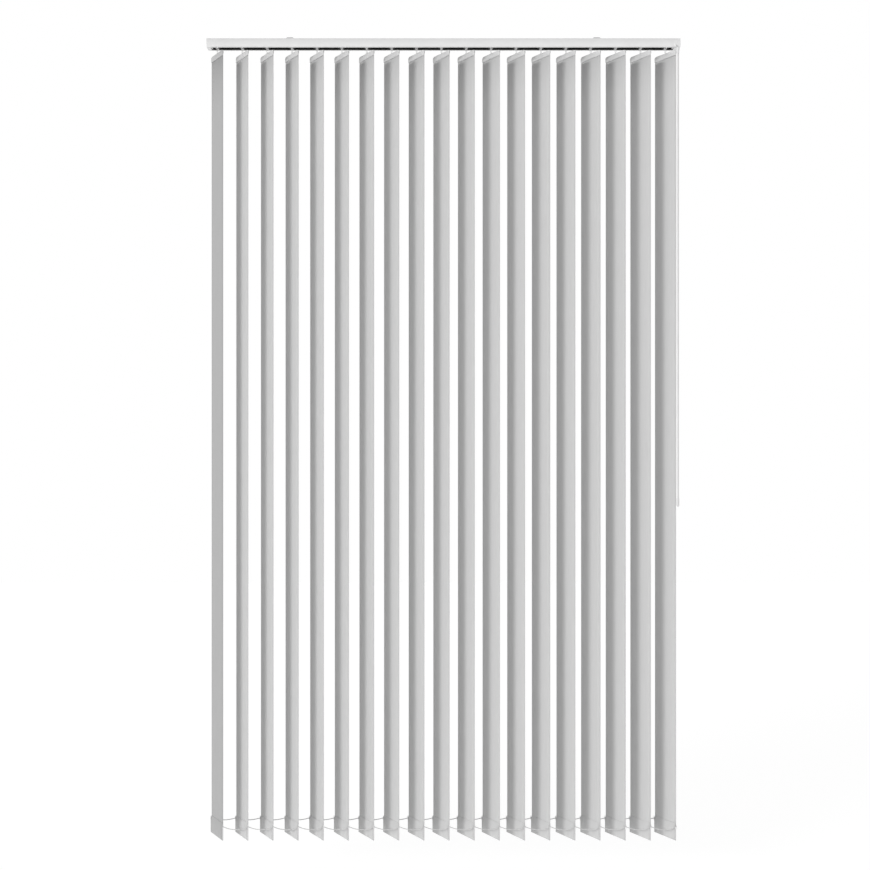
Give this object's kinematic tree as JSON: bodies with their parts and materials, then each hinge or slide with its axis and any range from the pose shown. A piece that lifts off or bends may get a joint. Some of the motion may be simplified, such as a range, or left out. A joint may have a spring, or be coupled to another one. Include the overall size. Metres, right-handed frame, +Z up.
{
  "type": "vertical blind",
  "caption": "Vertical blind: light grey fabric slats hang from carriers in a white headrail, turned by a wand, drawn along the rail, with chains linking the weighted feet.",
  "frame": {"origin": "midway between the two ceiling screw holes, on the ceiling plane that the brackets press against", "axes": "+Z up into the ceiling, +X to the right along the rail as seen from the room, +Y away from the room towards the window"},
  "size_m": [1.5056, 0.0929, 2.5442],
  "materials": {
    "rail_white": "satin white powder coat",
    "cap_white": "fine matt moulded",
    "bracket_steel": "zinc plated spring steel",
    "rod_aluminium": "drawn",
    "gear_plastic": "moulded",
    "tilter_white": "moulded",
    "wand_white": "smooth extruded",
    "carrier_black": "moulded",
    "slat_fabric": "light grey plain weave",
    "chain_white": "beaded"
  },
  "bodies": {
    "rail": {"headrail": "rail_white", "left_end_cap": "cap_white", "right_end_cap": "cap_white", "left_bracket": "bracket_steel", "right_bracket": "bracket_steel", "carrier_19": "carrier_black"},
    "carrier_01": {"carrier_01": "carrier_black"},
    "carrier_02": {"carrier_02": "carrier_black"},
    "carrier_03": {"carrier_03": "carrier_black"},
    "carrier_04": {"carrier_04": "carrier_black"},
    "carrier_05": {"carrier_05": "carrier_black"},
    "carrier_06": {"carrier_06": "carrier_black"},
    "carrier_07": {"carrier_07": "carrier_black"},
    "carrier_08": {"carrier_08": "carrier_black"},
    "carrier_09": {"carrier_09": "carrier_black"},
    "carrier_10": {"carrier_10": "carrier_black"},
    "carrier_11": {"carrier_11": "carrier_black"},
    "carrier_12": {"carrier_12": "carrier_black"},
    "carrier_13": {"carrier_13": "carrier_black"},
    "carrier_14": {"carrier_14": "carrier_black"},
    "carrier_15": {"carrier_15": "carrier_black"},
    "carrier_16": {"carrier_16": "carrier_black"},
    "carrier_17": {"carrier_17": "carrier_black"},
    "carrier_18": {"carrier_18": "carrier_black"},
    "slat_01": {"slat_01": "slat_fabric"},
    "slat_02": {"slat_02": "slat_fabric"},
    "slat_03": {"slat_03": "slat_fabric"},
    "slat_04": {"slat_04": "slat_fabric"},
    "slat_05": {"slat_05": "slat_fabric"},
    "slat_06": {"slat_06": "slat_fabric"},
    "slat_07": {"slat_07": "slat_fabric"},
    "slat_08": {"slat_08": "slat_fabric"},
    "slat_09": {"slat_09": "slat_fabric"},
    "slat_10": {"slat_10": "slat_fabric"},
    "slat_11": {"slat_11": "slat_fabric"},
    "slat_12": {"slat_12": "slat_fabric"},
    "slat_13": {"slat_13": "slat_fabric"},
    "slat_14": {"slat_14": "slat_fabric"},
    "slat_15": {"slat_15": "slat_fabric"},
    "slat_16": {"slat_16": "slat_fabric"},
    "slat_17": {"slat_17": "slat_fabric"},
    "slat_18": {"slat_18": "slat_fabric"},
    "slat_19": {"slat_19": "slat_fabric"},
    "tilt_rod": {"tilt_rod": "rod_aluminium", "rod_wheel": "gear_plastic"},
    "tilter": {"tilter_shaft": "tilter_white"},
    "wand_socket": {"wand_socket": "wand_white"},
    "wand": {"wand_rod": "wand_white", "wand_tip": "wand_white"},
    "near_chain": {"near_chain": "chain_white"},
    "far_chain": {"far_chain": "chain_white"}
  },
  "joints": [
    {"name": "traverse", "type": "slide", "parent": "rail", "child": "carrier_01", "axis": [1, 0, 0], "range_m": [0, 1.0692], "deforming": ["near_chain", "far_chain"]},
    {"name": "traverse_02", "type": "slide", "parent": "rail", "child": "carrier_02", "axis": [1, 0, 0], "range_m": [0, 1.00981]},
    {"name": "traverse_03", "type": "slide", "parent": "rail", "child": "carrier_03", "axis": [1, 0, 0], "range_m": [0, 0.95041]},
    {"name": "traverse_04", "type": "slide", "parent": "rail", "child": "carrier_04", "axis": [1, 0, 0], "range_m": [0, 0.89101]},
    {"name": "traverse_05", "type": "slide", "parent": "rail", "child": "carrier_05", "axis": [1, 0, 0], "range_m": [0, 0.83161]},
    {"name": "traverse_06", "type": "slide", "parent": "rail", "child": "carrier_06", "axis": [1, 0, 0], "range_m": [0, 0.77221]},
    {"name": "traverse_07", "type": "slide", "parent": "rail", "child": "carrier_07", "axis": [1, 0, 0], "range_m": [0, 0.71281]},
    {"name": "traverse_08", "type": "slide", "parent": "rail", "child": "carrier_08", "axis": [1, 0, 0], "range_m": [0, 0.65341]},
    {"name": "traverse_09", "type": "slide", "parent": "rail", "child": "carrier_09", "axis": [1, 0, 0], "range_m": [0, 0.59401]},
    {"name": "traverse_10", "type": "slide", "parent": "rail", "child": "carrier_10", "axis": [1, 0, 0], "range_m": [0, 0.53461]},
    {"name": "traverse_11", "type": "slide", "parent": "rail", "child": "carrier_11", "axis": [1, 0, 0], "range_m": [0, 0.47521]},
    {"name": "traverse_12", "type": "slide", "parent": "rail", "child": "carrier_12", "axis": [1, 0, 0], "range_m": [0, 0.41581]},
    {"name": "traverse_13", "type": "slide", "parent": "rail", "child": "carrier_13", "axis": [1, 0, 0], "range_m": [0, 0.35641]},
    {"name": "traverse_14", "type": "slide", "parent": "rail", "child": "carrier_14", "axis": [1, 0, 0], "range_m": [0, 0.29701]},
    {"name": "traverse_15", "type": "slide", "parent": "rail", "child": "carrier_15", "axis": [1, 0, 0], "range_m": [0, 0.23761]},
    {"name": "traverse_16", "type": "slide", "parent": "rail", "child": "carrier_16", "axis": [1, 0, 0], "range_m": [0, 0.17821]},
    {"name": "traverse_17", "type": "slide", "parent": "rail", "child": "carrier_17", "axis": [1, 0, 0], "range_m": [0, 0.11881]},
    {"name": "traverse_18", "type": "slide", "parent": "rail", "child": "carrier_18", "axis": [1, 0, 0], "range_m": [0, 0.05941]},
    {"name": "slat_tilt_01", "type": "hinge", "parent": "carrier_01", "child": "slat_01", "pos_m": [-0.7208, 0, -0.03], "axis": [0, 0, 1], "range_deg": [-112, 42]},
    {"name": "slat_tilt_02", "type": "hinge", "parent": "carrier_02", "child": "slat_02", "pos_m": [-0.6414, 0, -0.03], "axis": [0, 0, 1], "range_deg": [-112, 42]},
    {"name": "slat_tilt_03", "type": "hinge", "parent": "carrier_03", "child": "slat_03", "pos_m": [-0.562, 0, -0.03], "axis": [0, 0, 1], "range_deg": [-112, 42]},
    {"name": "slat_tilt_04", "type": "hinge", "parent": "carrier_04", "child": "slat_04", "pos_m": [-0.4826, 0, -0.03], "axis": [0, 0, 1], "range_deg": [-112, 42]},
    {"name": "slat_tilt_05", "type": "hinge", "parent": "carrier_05", "child": "slat_05", "pos_m": [-0.4032, 0, -0.03], "axis": [0, 0, 1], "range_deg": [-112, 42]},
    {"name": "slat_tilt_06", "type": "hinge", "parent": "carrier_06", "child": "slat_06", "pos_m": [-0.3238, 0, -0.03], "axis": [0, 0, 1], "range_deg": [-112, 42]},
    {"name": "slat_tilt_07", "type": "hinge", "parent": "carrier_07", "child": "slat_07", "pos_m": [-0.2444, 0, -0.03], "axis": [0, 0, 1], "range_deg": [-112, 42]},
    {"name": "slat_tilt_08", "type": "hinge", "parent": "carrier_08", "child": "slat_08", "pos_m": [-0.165, 0, -0.03], "axis": [0, 0, 1], "range_deg": [-112, 42]},
    {"name": "slat_tilt_09", "type": "hinge", "parent": "carrier_09", "child": "slat_09", "pos_m": [-0.0856, 0, -0.03], "axis": [0, 0, 1], "range_deg": [-112, 42]},
    {"name": "slat_tilt_10", "type": "hinge", "parent": "carrier_10", "child": "slat_10", "pos_m": [-0.0062, 0, -0.03], "axis": [0, 0, 1], "range_deg": [-112, 42]},
    {"name": "slat_tilt_11", "type": "hinge", "parent": "carrier_11", "child": "slat_11", "pos_m": [0.0732, 0, -0.03], "axis": [0, 0, 1], "range_deg": [-112, 42]},
    {"name": "slat_tilt_12", "type": "hinge", "parent": "carrier_12", "child": "slat_12", "pos_m": [0.1526, 0, -0.03], "axis": [0, 0, 1], "range_deg": [-112, 42]},
    {"name": "slat_tilt_13", "type": "hinge", "parent": "carrier_13", "child": "slat_13", "pos_m": [0.232, 0, -0.03], "axis": [0, 0, 1], "range_deg": [-112, 42]},
    {"name": "slat_tilt_14", "type": "hinge", "parent": "carrier_14", "child": "slat_14", "pos_m": [0.3114, 0, -0.03], "axis": [0, 0, 1], "range_deg": [-112, 42]},
    {"name": "slat_tilt_15", "type": "hinge", "parent": "carrier_15", "child": "slat_15", "pos_m": [0.3908, 0, -0.03], "axis": [0, 0, 1], "range_deg": [-112, 42]},
    {"name": "slat_tilt_16", "type": "hinge", "parent": "carrier_16", "child": "slat_16", "pos_m": [0.4702, 0, -0.03], "axis": [0, 0, 1], "range_deg": [-112, 42]},
    {"name": "slat_tilt_17", "type": "hinge", "parent": "carrier_17", "child": "slat_17", "pos_m": [0.5496, 0, -0.03], "axis": [0, 0, 1], "range_deg": [-112, 42]},
    {"name": "slat_tilt_18", "type": "hinge", "parent": "carrier_18", "child": "slat_18", "pos_m": [0.629, 0, -0.03], "axis": [0, 0, 1], "range_deg": [-112, 42]},
    {"name": "slat_tilt", "type": "hinge", "parent": "rail", "child": "slat_19", "pos_m": [0.7084, 0, -0.03], "axis": [0, 0, 1], "range_deg": [-112, 42]},
    {"name": "rod_turn", "type": "hinge", "parent": "rail", "child": "tilt_rod", "pos_m": [0, 0.008, -0.021], "axis": [1, 0, 0], "range_deg": [-896, 336]},
    {"name": "tilter_turn", "type": "hinge", "parent": "rail", "child": "tilter", "pos_m": [0.7376, -0.046, -0.048], "axis": [0, 0.8292, 0.559], "range_deg": [-336, 896]},
    {"name": "wand_swing", "type": "hinge", "parent": "rail", "child": "wand_socket", "pos_m": [0.7376, -0.046, -0.048], "axis": [1, 0, 0], "range_deg": [-60, 0]},
    {"name": "wand_twist", "type": "hinge", "parent": "wand_socket", "child": "wand", "pos_m": [0.7376, -0.046, -0.048], "axis": [0, 0, 1], "range_deg": [-336, 896]},
    {"name": "near_chain_turn", "type": "hinge", "parent": "slat_19", "child": "near_chain", "pos_m": [0.73414, -0.03972, -2.496], "axis": [0, 0, 1], "range_deg": [-42, 112]},
    {"name": "far_chain_turn", "type": "hinge", "parent": "slat_19", "child": "far_chain", "pos_m": [0.67988, 0.03777, -2.496], "axis": [0, 0, 1], "range_deg": [-42, 112]}
  ],
  "couplings": [
    {"joint": "traverse_02", "follows": "traverse", "ratio": 0.94444},
    {"joint": "traverse_03", "follows": "traverse", "ratio": 0.88889},
    {"joint": "traverse_04", "follows": "traverse", "ratio": 0.83333},
    {"joint": "traverse_05", "follows": "traverse", "ratio": 0.77778},
    {"joint": "traverse_06", "follows": "traverse", "ratio": 0.72222},
    {"joint": "traverse_07", "follows": "traverse", "ratio": 0.66667},
    {"joint": "traverse_08", "follows": "traverse", "ratio": 0.61111},
    {"joint": "traverse_09", "follows": "traverse", "ratio": 0.55556},
    {"joint": "traverse_10", "follows": "traverse", "ratio": 0.5},
    {"joint": "traverse_11", "follows": "traverse", "ratio": 0.44444},
    {"joint": "traverse_12", "follows": "traverse", "ratio": 0.38889},
    {"joint": "traverse_13", "follows": "traverse", "ratio": 0.33333},
    {"joint": "traverse_14", "follows": "traverse", "ratio": 0.27778},
    {"joint": "traverse_15", "follows": "traverse", "ratio": 0.22222},
    {"joint": "traverse_16", "follows": "traverse", "ratio": 0.16667},
    {"joint": "traverse_17", "follows": "traverse", "ratio": 0.11111},
    {"joint": "traverse_18", "follows": "traverse", "ratio": 0.055556},
    {"joint": "slat_tilt_01", "follows": "slat_tilt", "ratio": 1},
    {"joint": "slat_tilt_02", "follows": "slat_tilt", "ratio": 1},
    {"joint": "slat_tilt_03", "follows": "slat_tilt", "ratio": 1},
    {"joint": "slat_tilt_04", "follows": "slat_tilt", "ratio": 1},
    {"joint": "slat_tilt_05", "follows": "slat_tilt", "ratio": 1},
    {"joint": "slat_tilt_06", "follows": "slat_tilt", "ratio": 1},
    {"joint": "slat_tilt_07", "follows": "slat_tilt", "ratio": 1},
    {"joint": "slat_tilt_08", "follows": "slat_tilt", "ratio": 1},
    {"joint": "slat_tilt_09", "follows": "slat_tilt", "ratio": 1},
    {"joint": "slat_tilt_10", "follows": "slat_tilt", "ratio": 1},
    {"joint": "slat_tilt_11", "follows": "slat_tilt", "ratio": 1},
    {"joint": "slat_tilt_12", "follows": "slat_tilt", "ratio": 1},
    {"joint": "slat_tilt_13", "follows": "slat_tilt", "ratio": 1},
    {"joint": "slat_tilt_14", "follows": "slat_tilt", "ratio": 1},
    {"joint": "slat_tilt_15", "follows": "slat_tilt", "ratio": 1},
    {"joint": "slat_tilt_16", "follows": "slat_tilt", "ratio": 1},
    {"joint": "slat_tilt_17", "follows": "slat_tilt", "ratio": 1},
    {"joint": "slat_tilt_18", "follows": "slat_tilt", "ratio": 1},
    {"joint": "rod_turn", "follows": "slat_tilt", "ratio": 8},
    {"joint": "tilter_turn", "follows": "slat_tilt", "ratio": -8},
    {"joint": "wand_twist", "follows": "slat_tilt", "ratio": -8},
    {"joint": "near_chain_turn", "follows": "slat_tilt", "ratio": -1},
    {"joint": "far_chain_turn", "follows": "slat_tilt", "ratio": -1}
  ]
}
